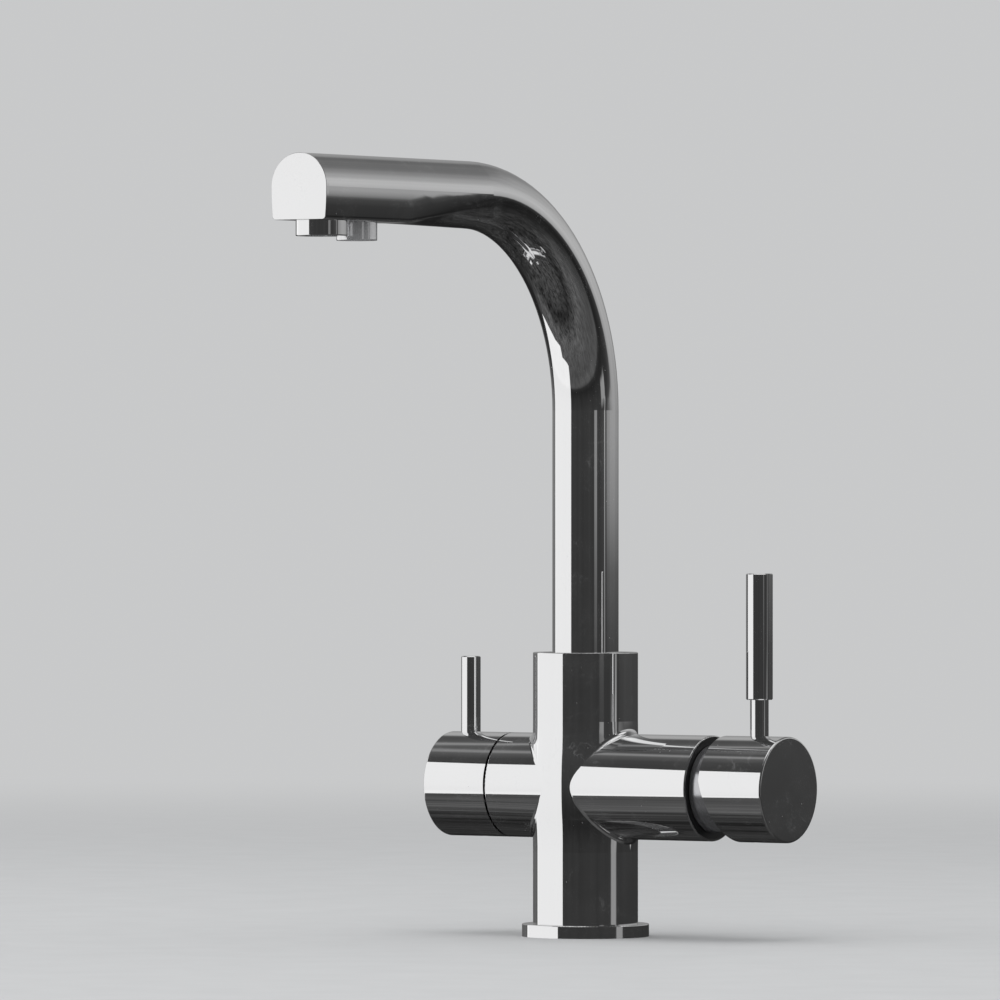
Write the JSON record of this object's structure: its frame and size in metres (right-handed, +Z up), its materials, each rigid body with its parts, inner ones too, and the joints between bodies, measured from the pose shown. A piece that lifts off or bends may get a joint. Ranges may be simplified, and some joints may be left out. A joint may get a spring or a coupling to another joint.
{
  "type": "kitchen mixer tap",
  "caption": "Chromed three-way kitchen tap: round body on a flange, tilting mixer handle, quarter-turn filter handle and a tall swivel spout with separate outlets.",
  "frame": {"origin": "on the body's upright axis at the deck, the mouth of the mounting stud's socket", "axes": "+Z up along the body and the spout's swivel axis, -Y the way the spout points at rest, +X towards the mixer handle"},
  "size_m": [0.192, 0.2639, 0.366],
  "materials": {
    "chrome": "polished",
    "brass": "machined",
    "steel": "satin",
    "rubber": "matte",
    "ceramic": "polished ceramic",
    "cartridge_plastic": "moulded",
    "white_plastic": "moulded",
    "black_plastic": "moulded",
    "outlet_plastic": "moulded"
  },
  "bodies": {
    "base": {"body_casting": "chrome", "base_flange": "chrome", "base_seal": "rubber", "cartridge_housing": "cartridge_plastic", "cartridge_seals": "rubber", "fixed_ceramic_disc": "ceramic", "cartridge_nut": "brass", "mixer_arm_ring": "black_plastic", "cartridge_cover": "steel", "filter_valve_body": "brass", "filter_valve_seal": "rubber", "filter_fixed_disc": "ceramic", "spout_slip_ring": "white_plastic", "spout_lock_screw": "steel"},
    "spout": {"spout_tube": "chrome", "spout_end_cap": "chrome", "spout_hub": "brass", "spout_o_rings": "rubber", "spout_filter_tube": "white_plastic", "main_outlet_boss": "brass", "filter_outlet_boss": "brass", "aerator_housing": "chrome", "aerator_insert": "outlet_plastic", "aerator_gasket": "rubber", "filter_nozzle": "steel", "filter_nozzle_insert": "outlet_plastic"},
    "mixer_rotor": {"cartridge_carrier": "cartridge_plastic", "stem_pivot_pin": "steel"},
    "mixer_disc": {"moving_ceramic_disc": "ceramic", "disc_carriage": "cartridge_plastic"},
    "mixer_handle": {"cartridge_stem": "brass", "mixer_handle_hub": "chrome", "mixer_lever_neck": "chrome", "mixer_lever_grip": "chrome", "mixer_handle_screw": "steel"},
    "filter_handle": {"filter_spindle": "brass", "filter_moving_disc": "ceramic", "filter_spindle_o_ring": "rubber", "filter_handle_hub": "chrome", "filter_lever": "chrome", "filter_handle_screw": "steel"}
  },
  "joints": [
    {"name": "spout_swivel", "type": "hinge", "parent": "base", "child": "spout", "pos_m": [0, 0, 0.1289], "axis": [0, 0, 1], "continuous": true},
    {"name": "mixer_turn", "type": "hinge", "parent": "base", "child": "mixer_rotor", "pos_m": [0.06, 0, 0.0715], "axis": [1, 0, 0], "range_deg": [-45, 45]},
    {"name": "mixer_tilt", "type": "hinge", "parent": "mixer_rotor", "child": "mixer_handle", "pos_m": [0.068, 0, 0.0715], "axis": [0, 1, 0], "range_deg": [0, 25]},
    {"name": "disc_slide", "type": "slide", "parent": "mixer_rotor", "child": "mixer_disc", "axis": [0, 0, 1], "range_m": [0, 0.0051]},
    {"name": "filter_turn", "type": "hinge", "parent": "base", "child": "filter_handle", "pos_m": [-0.04, 0, 0.0715], "axis": [1, 0, 0], "range_deg": [0, 90]}
  ],
  "couplings": [
    {"joint": "disc_slide", "follows": "mixer_tilt", "m_per_rad": 0.011623}
  ]
}
